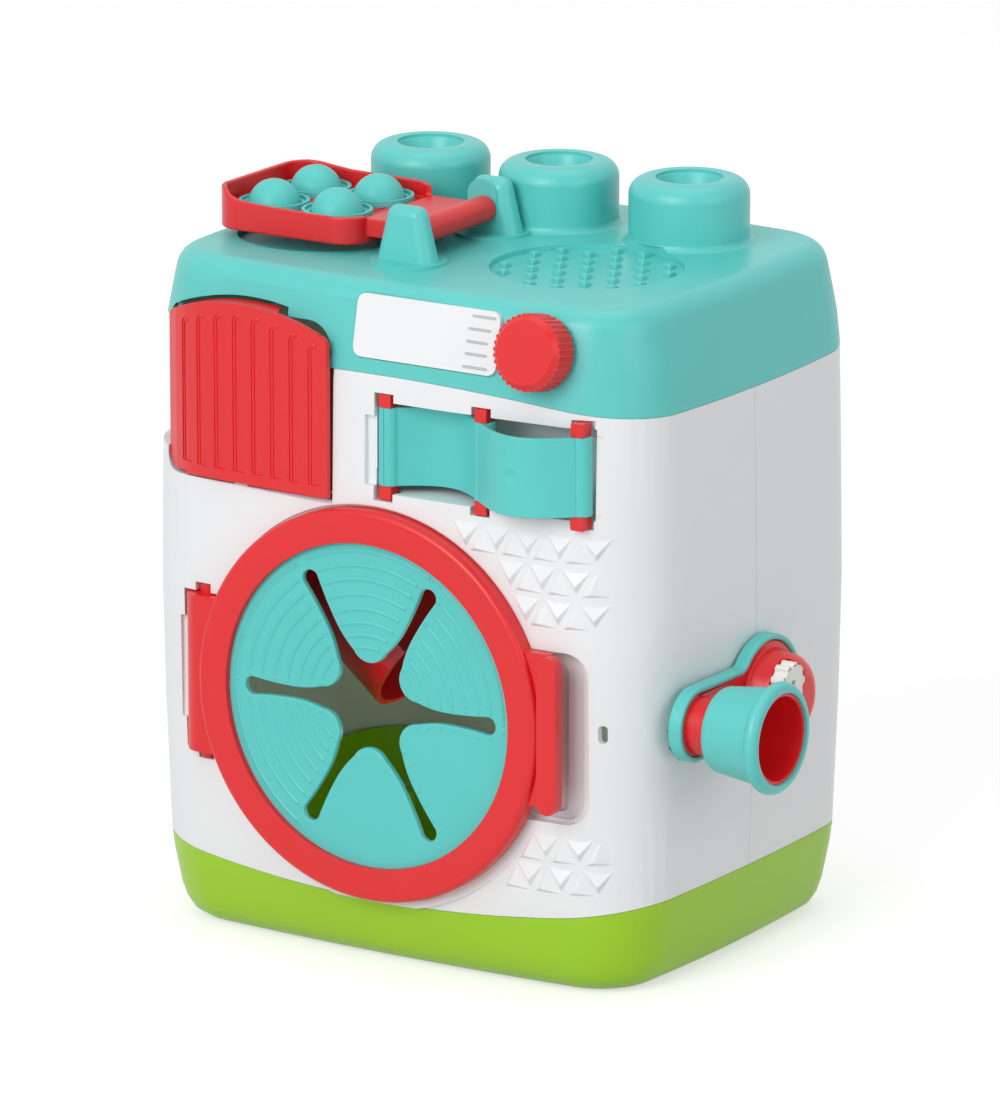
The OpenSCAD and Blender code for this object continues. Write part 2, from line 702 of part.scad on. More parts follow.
// Round fillet between the arm's top and the knuckle
fillet_r = 6;
fillet_z = arm_top_z + fillet_r - 0.05;
fillet_x = ear_x - sqrt(pow(knuckle_r + fillet_r - 0.1, 2) - pow(fillet_z - tray_axis_z, 2));
module knuckle_fillet() to_front(0, arm_front + arm_len, 0) linear_extrude(arm_len) difference() {
    polygon([[fillet_x, arm_low_z + 1], [ear_x, tray_axis_z], [fillet_x, fillet_z]]);
    translate([fillet_x, fillet_z]) circle(fillet_r);
}
module tray_frame() color(red) difference() {
    union() {
        difference() {
            translate([0, 0, tray_low]) linear_extrude(tray_high - tray_low) tray_plan(0);
            translate([0, 0, tray_floor_z + floor_thick]) linear_extrude(20) tray_plan(tray_wall);
            translate([0, 0, tray_low - 1]) linear_extrude(tray_floor_z - tray_low + 1) tray_plan(tray_wall);
            wall_tops();
        }
        // arm and knuckle between the ears
        translate([tray_right - 2, arm_front, arm_low_z])
            cube([ear_x - tray_right + 2, arm_len, arm_top_z - arm_low_z]);
        knuckle_fillet();
        translate([ear_x, knuckle_y, tray_axis_z]) rotate([-90, 0, 0]) cylinder(r = knuckle_r, h = knuckle_len);
    }
    translate([ear_x, -80, tray_axis_z]) rotate([-90, 0, 0])
        cylinder(r = tray_pin_r + 0.02, h = 120, $fn = 48);
    popper_place() translate([0, 0, tray_floor_z - 5]) cylinder(r = dome_r + 0.8, h = 12);
}
flange_r = tray_back - tray_wall - grid_y - dome_pitch / 2 - 0.1;
module popper_sheet() color(teal) popper_place() difference() {
    translate([0, 0, tray_floor_z + floor_thick]) cylinder(r = flange_r, h = 2.4);
    translate([0, 0, tray_floor_z]) cylinder(r = dome_r + 0.4, h = 6);
    translate([0, 0, tray_floor_z + floor_thick + 1.2]) cylinder(r = flange_r - 1.3, h = 6);
}
module tray_hinge_pin() color(grey) translate([ear_x, ear_front_y - 3, tray_axis_z]) rotate([-90, 0, 0])
    cylinder(r = tray_pin_r, h = ear_rear_y - ear_front_y + 6, $fn = 48);

module popper(i) color(teal)
    translate([grid_x + (i % 2 - 0.5) * dome_pitch, grid_y + (floor(i / 2) - 0.5) * dome_pitch, tray_floor_z + 2])
        rotate_extrude() difference() {
            circle(dome_r);
            circle(dome_r - 1.6);
            translate([-20, -40]) square([40, 40]);
            translate([-20, -1]) square([20, 40]);
        }
module popper_1() popper(0);
module popper_2() popper(1);
module popper_3() popper(2);
module popper_4() popper(3);

// Crank on the right side, turning about +X
hub_y = -4;
hub_z = 110;
arm_x = 121.6;
arm_thick = 6;
hub_r = 24;
tip_r = 15;
shaft_r = 4;
cup_x = arm_x + 15;
neck_r = 5;
neck_y = tip_r + neck_r - 0.05;
neck_far = sqrt(pow(hub_r + neck_r - 0.05, 2) - neck_y * neck_y);
module crank_outline(shrink) {
    circle(hub_r - shrink, $fn = 96);
    translate([-crank_len, 0]) circle(tip_r - shrink);
    translate([-crank_len, shrink - tip_r]) square([crank_len, 2 * (tip_r - shrink)]);
    for (m = [0, 1]) mirror([0, m, 0]) difference() {
        polygon([[-neck_far, 0], [0, 0], [-neck_far, neck_y]]);
        translate([-neck_far, neck_y]) circle(neck_r + shrink);
    }
}
module crank_arm() color(teal) to_right(arm_x, hub_y, hub_z) difference() {
    linear_extrude(arm_thick) crank_outline(0);
    translate([0, 0, 2.4]) linear_extrude(arm_thick) crank_outline(2.5);
    translate([0, 0, -1]) cylinder(r = shaft_r, h = 10);
}
dome_h = 17.4;
dome_edge = 8;
wheel_y = -7;
wheel_z = 8;
wheel_r = 8.6;
wheel_x = 14.9;
wheel_teeth = 9;
module hub_dome() rotate_extrude($fn = 96) intersection() {
    union() {
        polygon([[0, 0], [19, 0], [17.4, dome_h - dome_edge], [0, dome_h - dome_edge]]);
        square([17.4 - dome_edge, dome_h]);
        translate([17.4 - dome_edge, dome_h - dome_edge]) circle(dome_edge);
    }
    square([40, 40]);
}
module crank_cover() color(red) to_right(arm_x + 2.4, hub_y, hub_z) difference() {
    union() {
        linear_extrude(arm_thick - 3.2) crank_outline(2.6);
        hub_dome();
        translate([-crank_len, 0]) cylinder(r = 11.5, h = cup_x - arm_x - 2.4 - running_gap);
    }
    translate([wheel_y, wheel_z, wheel_x - 2.4 - running_gap]) cylinder(r = wheel_r + 0.6, h = 20);
    translate([0, 0, -1]) cylinder(r = shaft_r, h = 8);
    translate([-crank_len, 0, -1]) cylinder(r = 3, h = 20);
    translate([wheel_y, wheel_z, 5.6]) cylinder(r = 1.5, h = 20);
}
module crank_shaft() color(grey) to_right(arm_x - 14, hub_y, hub_z) cylinder(r = shaft_r, h = 20);
module crank_washer() color(white) to_right(bearing_x - running_gap - 2, hub_y, hub_z) difference() {
    cylinder(r = 10, h = 2);
    translate([0, 0, -1]) cylinder(r = shaft_r, h = 4);
}
module cup_spindle() color(grey) to_right(arm_x + 3, hub_y - crank_len, hub_z) {
    cylinder(r = 3, h = cup_x - arm_x - 0.6);
    translate([0, 0, cup_x - arm_x - 0.8]) cylinder(r = 5, h = 1.6);
}
module click_wheel_pin() color(grey) to_right(arm_x + 8, hub_y + wheel_y, hub_z + wheel_z)
    cylinder(r = 1.5, h = wheel_x - 8 + 4.6);
module click_wheel() color(white) to_right(arm_x + wheel_x, hub_y + wheel_y, hub_z + wheel_z) difference() {
    cylinder(r = wheel_r, h = 6);
    for (i = [0:wheel_teeth - 1]) rotate(360 / wheel_teeth * (i + 0.5))
        translate([wheel_r + 0.9, 0, -1]) cylinder(r = 2.2, h = 8, $fn = 24);
    translate([0, 0, -1]) cylinder(r = 1.5 + pin_gap, h = 10, $fn = 32);
}

cup_r = 19.6;
cup_back_r = 17.2;
cup_edge = 3.7;
bead_r = 3;
lip_r = 22.3;
cup_inner_r = 18.4;
liner_wall = 1.4;
bead_z = cup_len - 2 * bead_r;

// Hollow of the cup, which widens towards the mouth
module cup_hollow(shrink, low) polygon([[0, low], [15.6 - shrink, low],
    [cup_inner_r - 0.6 - shrink, bead_z], [cup_inner_r - shrink, cup_len + 1], [0, cup_len + 1]]);
module cup_shell() color(teal) to_right(cup_x, hub_y - crank_len, hub_z) difference() {
    rotate_extrude($fn = 96) difference() {
        union() {
            polygon([[0, 0], [cup_back_r - cup_edge, 0], [cup_back_r, cup_edge], [cup_r, bead_z - 0.4],
                [cup_r - 0.5, bead_z], [cup_r - 0.5, cup_len], [0, cup_len]]);
            intersection() {
                translate([cup_back_r - cup_edge, cup_edge]) circle(cup_edge);
                square([40, cup_edge]);
            }
            translate([lip_r - bead_r, cup_len - bead_r]) circle(bead_r);
        }
        cup_hollow(0, 2);
    }
    translate([0, 0, -1]) cylinder(r = 3 + pin_gap, h = 10);
}
module cup_liner() color(red) to_right(cup_x, hub_y - crank_len, hub_z)
    rotate_extrude($fn = 96) difference() {
        cup_hollow(0.05, 2);
        cup_hollow(0.05 + liner_wall, 2 + liner_wall);
        translate([0, cup_len - 1.2]) square([40, 10]);
        square([5.6, 10]);
    }

base_tray();
front_shell();
rear_shell();
top_cap();
badge_plate();
ball_ramp();
wave_band();
band_rod_left();
band_rod_middle();
band_rod_right();
housing_screws();
door_hinge_pin();
door_ring();
petal_disc();
petal_clamp_ring();
clamp_screws();
hopper_flap();
flap_hinge_pin();
dial();
dial_shaft();
dial_clip();
tray_frame();
popper_sheet();
tray_hinge_pin();
popper_1();
popper_2();
popper_3();
popper_4();
crank_arm();
crank_cover();
crank_shaft();
crank_washer();
cup_spindle();
click_wheel_pin();
cup_shell();
cup_liner();
click_wheel();
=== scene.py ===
# %% [markdown]
# # A toy washing machine
#
# The toy is a moulded box for toddlers: a drum door cut into six petals, a hopper
# flap, a springy wave band, a dial, a crank with a cup handle and a tray of bubble
# poppers on top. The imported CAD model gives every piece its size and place. This
# script gives the pieces the finish of the real ones: rounded edges, the raised
# patterns, and the plastics they are moulded from. Blender's unit is the metre. The
# toy's own lengths are written in millimetres, and MM turns them into metres.

# %% Load the frame
import json
import math

import bmesh
import bpy
from mathutils import Matrix, Vector
from mathutils.bvhtree import BVHTree

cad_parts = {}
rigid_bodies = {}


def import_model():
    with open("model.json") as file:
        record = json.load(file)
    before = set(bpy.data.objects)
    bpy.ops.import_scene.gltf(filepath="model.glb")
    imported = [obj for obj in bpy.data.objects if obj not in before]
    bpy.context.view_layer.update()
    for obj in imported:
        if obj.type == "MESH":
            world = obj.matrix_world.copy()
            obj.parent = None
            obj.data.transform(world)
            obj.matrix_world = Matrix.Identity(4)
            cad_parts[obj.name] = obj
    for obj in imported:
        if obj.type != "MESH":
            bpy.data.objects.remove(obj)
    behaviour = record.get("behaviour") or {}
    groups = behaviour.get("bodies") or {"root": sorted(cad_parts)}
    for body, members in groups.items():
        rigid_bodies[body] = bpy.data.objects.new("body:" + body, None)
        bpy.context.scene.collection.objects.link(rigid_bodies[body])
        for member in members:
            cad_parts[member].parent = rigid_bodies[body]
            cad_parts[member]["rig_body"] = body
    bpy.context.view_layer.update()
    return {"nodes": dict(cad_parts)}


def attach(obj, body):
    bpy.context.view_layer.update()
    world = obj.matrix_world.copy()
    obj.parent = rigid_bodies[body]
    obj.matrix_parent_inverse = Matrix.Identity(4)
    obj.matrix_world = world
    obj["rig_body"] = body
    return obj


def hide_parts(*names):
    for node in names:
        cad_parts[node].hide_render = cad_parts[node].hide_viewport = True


MM = 0.001
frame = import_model()
nodes = frame["nodes"]

# %% [markdown]
# ## Colours and shader nodes
#
# A designer picks colours as sRGB hex codes, but shader sockets take linear light,
# so one function turns one into the other. A second function adds any shader node
# with its settings and its links, which keeps each material a short recipe. The
# sockets of a Mix node that mixes colours have numbers, which get names here.


# %% Colour and node helpers
MIX_FACTOR, MIX_FIRST, MIX_SECOND, MIX_RESULT = 0, 6, 7, 2


def linear(code):
    """The linear RGBA colour of an sRGB hex code."""
    srgb = [int(code[i:i + 2], 16) / 255 for i in (0, 2, 4)]
    return tuple(c / 12.92 if c <= 0.04045 else ((c + 0.055) / 1.055) ** 2.4 for c in srgb) + (1.0,)


def add_node(tree, kind, settings=None, inputs=None):
    """Adds one shader node; an input is a plain value or another node's output."""
    node = tree.nodes.new(kind)
    for name, value in (settings or {}).items():
        setattr(node, name, value)
    for name, value in (inputs or {}).items():
        if isinstance(value, bpy.types.NodeSocket):
            tree.links.new(value, node.inputs[name])
        else:
            node.inputs[name].default_value = value
    return node


print("white is", linear("ffffff"))

# %% [markdown]
# ## Moulded ABS
#
# The shells, the door ring, the tray and the dial are injection-moulded ABS, a
# glossy, hard plastic coloured right through. Two things keep it from looking like
# paint. The melt flows into the mould in slow streaks, which change the shade by a
# few parts in a hundred over about 45 mm. The steel mould is lightly spark eroded,
# so the skin has a grain well under a millimetre, drawn here at 1.2 mm because a
# finer one would be lost between the render's pixels. The grain softens each
# highlight. ABS has an IOR of about 1.53.


# %% The moulded ABS recipe
FLOW_MM = 45
GRAIN_MM = 1.2
GLOSSIER, DULLER = 0.03, 0.05


def moulded(name, colour, shade, roughness=0.36, grain_depth=0.012, ior=1.53):
    """A moulded plastic: colour and its darker flow shade, and a fine eroded grain."""
    material = bpy.data.materials.new(name)
    material.use_nodes = True
    tree = material.node_tree
    place = add_node(tree, "ShaderNodeTexCoord").outputs["Object"]
    flow = add_node(tree, "ShaderNodeTexNoise", {}, {
        "Vector": place, "Scale": 1000 / FLOW_MM, "Detail": 2.0, "Distortion": 0.6})
    tone = add_node(tree, "ShaderNodeMix", {"data_type": "RGBA"}, {
        MIX_FACTOR: flow.outputs["Fac"], MIX_FIRST: linear(shade), MIX_SECOND: linear(colour)})
    grain = add_node(tree, "ShaderNodeTexNoise", {}, {
        "Vector": place, "Scale": 1000 / GRAIN_MM, "Detail": 3.0})
    gloss = add_node(tree, "ShaderNodeMapRange", {}, {
        "Value": flow.outputs["Fac"], "From Min": 0.3, "From Max": 0.7,
        "To Min": roughness - GLOSSIER, "To Max": roughness + DULLER})
    skin = add_node(tree, "ShaderNodeBump", {}, {
        "Height": grain.outputs["Fac"], "Distance": grain_depth * MM, "Strength": 1.0})
    shader = tree.nodes["Principled BSDF"]
    shader.inputs["IOR"].default_value = ior
    tree.links.new(tone.outputs[MIX_RESULT], shader.inputs["Base Color"])
    tree.links.new(gloss.outputs["Result"], shader.inputs["Roughness"])
    tree.links.new(skin.outputs["Normal"], shader.inputs["Normal"])
    return material


# %% The plastics of this toy
teal_abs = moulded("moulded ABS, teal", "5fcdc8", "59c5c0")
red_abs = moulded("moulded ABS, red", "e41c21", "dc191e", roughness=0.33)
white_abs = moulded("moulded ABS, white", "eef0f1", "e8eaec", roughness=0.40)
green_abs = moulded("moulded ABS, green", "9fd216", "97c913", roughness=0.38)
white_acetal = moulded("moulded acetal, natural white", "f1efe9", "e9e7e0", roughness=0.30, ior=1.48)
print("plastics:", [m.name for m in (teal_abs, red_abs, white_abs, green_abs, white_acetal)])

# %% [markdown]
# ## Soft silicone
#
# The bubbles, their flanges, the petals and the wave band are moulded silicone
# rubber. It is a little duller than ABS, and light enters its skin and comes back
# out, which lifts the shaded side of a dome. A small subsurface weight gives that.

# %% The silicone recipe
teal_silicone = moulded("moulded silicone, teal", "62cfca", "5bc7c2", roughness=0.42, ior=1.41)
silicone_shader = teal_silicone.node_tree.nodes["Principled BSDF"]
silicone_shader.inputs["Subsurface Weight"].default_value = 0.12
silicone_shader.inputs["Subsurface Radius"].default_value = (0.5, 0.9, 0.9)
silicone_shader.inputs["Subsurface Scale"].default_value = 1.5 * MM
print("silicone ready:", teal_silicone.name)

# %% [markdown]
# ## Zinc-plated steel
#
# Pins, screws and clips inside are plated steel. Plating gives a cool grey metal
# with a faint brushed variation in gloss, from the drawn wire it is made of.

# %% The plated steel recipe
STREAK_MM = 0.8
plated_steel = bpy.data.materials.new("drawn steel, zinc plated")
plated_steel.use_nodes = True
steel_tree = plated_steel.node_tree
steel_place = add_node(steel_tree, "ShaderNodeTexCoord").outputs["Object"]
steel_streak = add_node(steel_tree, "ShaderNodeTexNoise", {}, {
    "Vector": steel_place, "Scale": 1000 / STREAK_MM, "Detail": 2.0})
steel_gloss = add_node(steel_tree, "ShaderNodeMapRange", {}, {
    "Value": steel_streak.outputs["Fac"], "To Min": 0.22, "To Max": 0.42})
steel_tone = add_node(steel_tree, "ShaderNodeMix", {"data_type": "RGBA"}, {
    MIX_FACTOR: steel_streak.outputs["Fac"], MIX_FIRST: linear("a3a8ad"), MIX_SECOND: linear("c2c6ca")})
steel_shader = steel_tree.nodes["Principled BSDF"]
steel_shader.inputs["Metallic"].default_value = 1.0
steel_tree.links.new(steel_tone.outputs[MIX_RESULT], steel_shader.inputs["Base Color"])
steel_tree.links.new(steel_gloss.outputs["Result"], steel_shader.inputs["Roughness"])
print("steel ready:", plated_steel.name)

# %% [markdown]
# ## Painted shade on the badge lines
#
# The short lines on the badge plate are raised about a tenth of a millimetre, and their
# grey is painted shade: it stands for the shade along their raised edges. The lines are
# a little duller than the plate round them.

# %% The recipe of the badge lines' painted shade
# Painted shade: this grey stands for the shade along the raised badge lines.
badge_lines_painted_shade = moulded("badge lines, grey painted shade", "bcc1c5", "b4b9bd", roughness=0.5)
print("painted shade of the badge lines ready:", badge_lines_painted_shade.name)

# %% [markdown]
# ## Edges as a mould makes them
#
# A mould can't have knife edges, so each edge of a moulded piece has a small
# radius, and a thin highlight runs along it. A CAD node's mesh is loose triangles,
# so a copy is merged first, and its flat faces get the best triangles that fit
# them. Where a piece is cut along a plane, its flat faces without a hole become one
# polygon each. A Bevel modifier rounds what is sharper than 32 degrees. Where only
# some edges may be rounded, bmesh bevels those that a small function chooses. A
# Weighted Normal modifier keeps the large faces flat. The copy stands for the CAD
# node in every view.

# %% A merged copy of a CAD node
SHARP = math.radians(32)
FLAT = math.radians(0.15)
WELD = 0.002 * MM
made = {}


def merged_copy(node):
    """A bmesh of a CAD node with its triangles merged and its flat faces well filled."""
    bm = bmesh.new()
    bm.from_mesh(nodes[node].data)
    bmesh.ops.remove_doubles(bm, verts=bm.verts, dist=WELD)
    bmesh.ops.dissolve_degenerate(bm, edges=bm.edges, dist=WELD)
    flat = [e for e in bm.edges if e.is_manifold and e.calc_face_angle(0) < FLAT]
    bmesh.ops.beautify_fill(bm, faces=bm.faces, edges=flat, use_restrict_tag=False, method="ANGLE")
    return bm


# %% Flat faces as one polygon each
SAME_PLANE = 0.99999


def flat_region(start):
    """The faces that lie in one plane with the first one."""
    start.tag = True
    region = [start]
    for face in region:
        for edge in face.edges:
            if edge.is_manifold and edge.calc_face_angle(0) < FLAT:
                for other in edge.link_faces:
                    if not other.tag and other.normal.dot(start.normal) > SAME_PLANE:
                        other.tag = True
                        region.append(other)
    return region


def has_one_rim(region):
    """True if the rim of these faces is a single loop, so the region has no hole."""
    inside = set(region)
    rim = {e for f in region for e in f.edges if not all(g in inside for g in e.link_faces)}
    at = {}
    for edge in rim:
        for vertex in edge.verts:
            at.setdefault(vertex, []).append(edge)
    if any(len(edges) != 2 for edges in at.values()):
        return False
    edge = next(iter(rim))
    vertex = edge.verts[0]
    walked = set()
    while edge not in walked:
        walked.add(edge)
        vertex = edge.other_vert(vertex)
        edge = next(e for e in at[vertex] if e is not edge)
    return len(walked) == len(rim)


def join_flat(bm):
    """Joins the triangles of each flat face without a hole."""
    for face in bm.faces:
        face.tag = False
    regions = [flat_region(face) for face in bm.faces if not face.tag]
    for region in regions:
        if len(region) > 1 and has_one_rim(region):
            bmesh.ops.dissolve_faces(bm, faces=region)


# %% A piece from a bmesh
def finish_piece(piece, body, material):
    """Gives a piece its material and its body, and notes its number of faces."""
    piece.data.materials.clear()
    piece.data.materials.append(material)
    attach(piece, body)
    made[piece.name] = len(piece.data.polygons)
    return piece


def piece_from(bm, name, body, material, sharp=SHARP):
    """Turns a bmesh into a smooth piece whose edges above an angle stay crisp."""
    for face in bm.faces:
        face.smooth = True
    for edge in bm.edges:
        edge.smooth = not edge.is_manifold or edge.calc_face_angle(0) < sharp
    mesh = bpy.data.meshes.new(name)
    bm.to_mesh(mesh)
    bm.free()
    piece = bpy.data.objects.new(name, mesh)
    bpy.context.scene.collection.objects.link(piece)
    return finish_piece(piece, body, material)


def keep_faces_flat(piece):
    """Lets the large faces decide the shading at their corners."""
    weights = piece.modifiers.new("flat faces", "WEIGHTED_NORMAL")
    weights.keep_sharp = True
    weights.weight = 100


# %% The helper that dresses a CAD node
SNAP = 0.001 * MM


def dress(node, material, edge_mm=0.0, segments=3, cuts=(), chosen=None, reshape=None):
    """A copy of a CAD node that stands for it: reshaped, cut along planes and with rounded edges."""
    bm = merged_copy(node)
    if reshape:
        reshape(bm)
    for plane_co, plane_no in cuts:
        bmesh.ops.bisect_plane(bm, geom=bm.verts[:] + bm.edges[:] + bm.faces[:], dist=SNAP,
                               plane_co=Vector(plane_co) * MM, plane_no=plane_no)
    if cuts:
        join_flat(bm)
    if chosen:
        edges = [e for e in bm.edges if e.is_manifold and e.calc_face_angle(0) > SHARP and chosen(e)]
        bmesh.ops.bevel(bm, geom=edges, offset=edge_mm * MM, segments=segments, profile=0.5,
                        affect="EDGES", material=-1, clamp_overlap=True)
    piece = piece_from(bm, node + "_moulding", nodes[node]["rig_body"], material)
    if edge_mm and not chosen:
        bevel = piece.modifiers.new("mould radius", "BEVEL")
        bevel.width = edge_mm * MM
        bevel.segments = segments
        bevel.limit_method = "ANGLE"
        bevel.angle_limit = SHARP
        bevel.use_clamp_overlap = False
        bevel.miter_outer = "MITER_ARC"
    keep_faces_flat(piece)
    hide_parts(node)
    return piece


# %% [markdown]
# ## The housing
#
# Four mouldings make the box: the green tray, the two white shells that meet in a
# fine seam at the sides, and the teal cap with the studs. Their forms are the CAD
# nodes' own, with the large radii already in them, so they only need their plastic
# and clean shading.

# %% Dress the housing
dress("base_tray", green_abs)
dress("front_shell", white_abs)
dress("rear_shell", white_abs)
dress("top_cap", teal_abs)
dress("badge_plate", white_abs)
dress("ball_ramp", red_abs)
print("housing:", made)

# %% [markdown]
# ## The moving pieces
#
# The thicker pieces get a radius that shows: about 1 mm on the door ring, the tray
# and the crank, less on the small ones. Faces with holes in them are cut along a
# line through the holes first, so that each part of them is a plain polygon that
# the bevel can follow without thin slivers.
#
# The door ring's blind screw holes and its hinge bore keep crisp edges. The catch
# behind its grip is set back, so that it stays out of sight when the door is shut.

# %% Dress the door
DOOR_X, DOOR_Z = 0.5, 108.3
HINGE_X, HINGE_Y, BORE_ROOM = -81.5, -89.0, 2.4
SCREW_CIRCLE, SCREW_ROOM, SCREW_ROOM_DEGREES = 67.8, 1.3, 1.3
CATCH_LEFT, CATCH_RIGHT, CATCH_LOW, CATCH_HIGH = 81.7, 83.7, 93.8, 124.2
CATCH_BACK, CATCH_END = -94, -96.8


def middle_of(edge):
    """The middle of an edge, in millimetres."""
    return (edge.verts[0].co + edge.verts[1].co) / 2 / MM


def away_from_screws(edge):
    """False for an edge of a screw hole, one every 60 degrees, or of the hinge pin's bore."""
    middle = middle_of(edge)
    if math.hypot(middle.x - HINGE_X, middle.y - HINGE_Y) < BORE_ROOM:
        return False
    reach = math.hypot(middle.x - DOOR_X, middle.z - DOOR_Z)
    turn = math.degrees(math.atan2(middle.z - DOOR_Z, middle.x - DOOR_X)) % 60 - 30
    return not (abs(reach - SCREW_CIRCLE) < SCREW_ROOM and abs(turn) < SCREW_ROOM_DEGREES)


def set_back_catch(bm):
    """Moves the back end of the catch forward."""
    for vertex in bm.verts:
        x, y, z = vertex.co / MM
        if CATCH_LEFT < x < CATCH_RIGHT and CATCH_LOW < z < CATCH_HIGH and y > CATCH_BACK:
            vertex.co.y = CATCH_END * MM


dress("door_ring", red_abs, 0.8, chosen=away_from_screws, reshape=set_back_catch,
      cuts=[((0, 0, DOOR_Z), (0, 0, 1)), ((DOOR_X, 0, 0), (1, 0, 0))])
dress("petal_clamp_ring", red_abs)
print("door:", len(made), "pieces so far")

# %% [markdown]
# ## The hopper flap and the dial
#
# The flap is a thin fluted shell with an arched top. Only the outline of its front
# is rounded, and its flutes keep the form that they have in the CAD model. Its top
# edge reaches back towards the cap, but leaves the finger gap at the right end.

# %% Dress the flap and the dial
FLAP_LEFT, FLAP_RIGHT, FLAP_LOW = -102.6, -19.0, 189.5
ARCH_X, ARCH_LOW, ARCH_R = -60.0, 166.0, 96.0
CORNER_MIDDLE, CORNER_REACH = 225, 30
FACES_FRONT, FACES_LEFT, FACES_BACK = -0.3, -0.6, 0.3
ON_LINE = 0.1
RIM_DEEP, RIM_LOW, RIM_RIGHT = 6.5, 230, -44


def from_arch(x, z):
    """How far a place lies from the circle of the flap's arched top, in millimetres."""
    return abs(math.hypot(x - ARCH_X, z - ARCH_LOW) - ARCH_R)


def on_flap_outline(edge):
    """True for an edge between the flap's front face and its top, sides or bottom."""
    middle = middle_of(edge)
    near = min(abs(middle.x - FLAP_LEFT), abs(middle.x - FLAP_RIGHT), abs(middle.z - FLAP_LOW),
               from_arch(middle.x, middle.z))
    by_corner = abs(middle.z - CORNER_MIDDLE) < CORNER_REACH
    fronts = [face for face in edge.link_faces
              if face.normal.y < FACES_FRONT or face.normal.x < FACES_LEFT and by_corner]
    return near < ON_LINE and len(fronts) == 1


def widen_flap_rim(bm):
    """Moves the back edge of the arched top to the rear, up to the finger gap."""
    for vertex in bm.verts:
        x, _, z = vertex.co / MM
        on_arch = from_arch(x, z) < ON_LINE and z > RIM_LOW
        if on_arch and x < RIM_RIGHT and any(face.normal.y > FACES_BACK for face in vertex.link_faces):
            vertex.co.y += RIM_DEEP * MM


dress("hopper_flap", red_abs, 0.7, chosen=on_flap_outline, reshape=widen_flap_rim)
dress("dial", red_abs)
print("flap and dial:", len(made), "pieces so far")

# %% [markdown]
# ## The popper tray and the wave band
#
# The tray is a stiff frame, and soft domes stand in its two rows of holes. The band
# is a silicone strip between three stiff rods, as springy as the domes.

# %% Dress the tray and the band
BUBBLE_ROWS = (-35.5, -5.5)
dress("tray_frame", red_abs, 0.7, cuts=[((0, y, 0), (0, 1, 0)) for y in BUBBLE_ROWS])
dress("popper_sheet", teal_silicone)
for number in range(1, 5):
    dress(f"popper_{number}", teal_silicone)
dress("wave_band", teal_silicone, 0.4)
for side in ("left", "middle", "right"):
    dress(f"band_rod_{side}", red_abs, 0.3)
print("tray and band:", len(made), "pieces so far")

# %% [markdown]
# ## The crank and its cup
#
# The crank's arm carries a red cover, and the cup at its end turns as the handle.
# Arm and cover are cut level with the crank's axis before their edges are rounded.

# %% Dress the crank and the cup
CRANK_Z = 110
level = ((0, 0, CRANK_Z), (0, 0, 1))
dress("crank_arm", teal_abs, 1.0, cuts=[level])
dress("crank_cover", red_abs, 0.7, cuts=[level])
dress("cup_shell", teal_abs)
dress("cup_liner", red_abs)
dress("click_wheel", white_acetal, 0.4)
print("all mouldings:", sum(made.values()), "faces before their edges are rounded")

# %% [markdown]
# ## The hidden hardware
#
# Pins, screws, the dial's shaft and the washer keep their CAD shape, which is
# turned or drawn stock, and only take their material.

# %% Finish the hardware
steel_nodes = ["housing_screws", "door_hinge_pin", "clamp_screws", "flap_hinge_pin", "tray_hinge_pin",
               "dial_clip", "crank_shaft", "cup_spindle", "click_wheel_pin"]
for name in steel_nodes + ["dial_shaft", "crank_washer"]:
    nodes[name].data.materials.clear()
    nodes[name].data.materials.append(plated_steel if name in steel_nodes else white_acetal)
print(len(steel_nodes), "steel pieces")

# %% [markdown]
# ## The face of the door ring
#
# Seen from the front the ring is flat and rolls over only near its outer edge. The
# profile of that face is a few points across the ring, with the roll drawn as an
# arc by spinning one of them. Spun once round the door's axis, it covers the ring
# like the cap of a moulding. Its inner edge is only broken by half a millimetre.

# %% Spin the ring's face
DOOR_Y = -98.3
DOOR = Vector((DOOR_X, DOOR_Y, DOOR_Z)) * MM
OUT = Vector((0, -1, 0))
RING_IN, RING_OUT, ROLL = 65.96, 79.54, 2.4
FACE_Y, LOW_Y = -101.23 - DOOR_Y, -95.0 - DOOR_Y
BREAK, BREAK_MIDDLE = 0.5, 0.15
RING_STEPS = 144
CLOSE = 0.01 * MM
bm = bmesh.new()
roll_start = bm.verts.new(Vector((RING_OUT - ROLL, FACE_Y, 0)) * MM)
bmesh.ops.spin(bm, geom=[roll_start], cent=Vector((RING_OUT - ROLL, FACE_Y + ROLL, 0)) * MM,
               axis=(0, 0, 1), angle=math.radians(90), steps=6)
corners = [(RING_OUT, FACE_Y + ROLL), (RING_OUT, LOW_Y), (RING_IN, LOW_Y), (RING_IN, FACE_Y + BREAK),
           (RING_IN + BREAK_MIDDLE, FACE_Y + BREAK_MIDDLE), (RING_IN + BREAK, FACE_Y),
           (RING_OUT - ROLL, FACE_Y)]
chain = [bm.verts.new(Vector((x, y, 0)) * MM) for x, y in corners]
for one, other in zip(chain, chain[1:]):
    bm.edges.new((one, other))
bmesh.ops.remove_doubles(bm, verts=bm.verts, dist=CLOSE)
bmesh.ops.spin(bm, geom=bm.verts[:] + bm.edges[:], cent=(0, 0, 0), axis=OUT, angle=2 * math.pi,
               steps=RING_STEPS, use_merge=True)
bmesh.ops.remove_doubles(bm, verts=bm.verts, dist=CLOSE)
bmesh.ops.recalc_face_normals(bm, faces=bm.faces)
bmesh.ops.translate(bm, verts=bm.verts, vec=DOOR)
ring_face = piece_from(bm, "door_ring_face", "door", red_abs)
keep_faces_flat(ring_face)
print("ring face:", made["door_ring_face"], "faces")

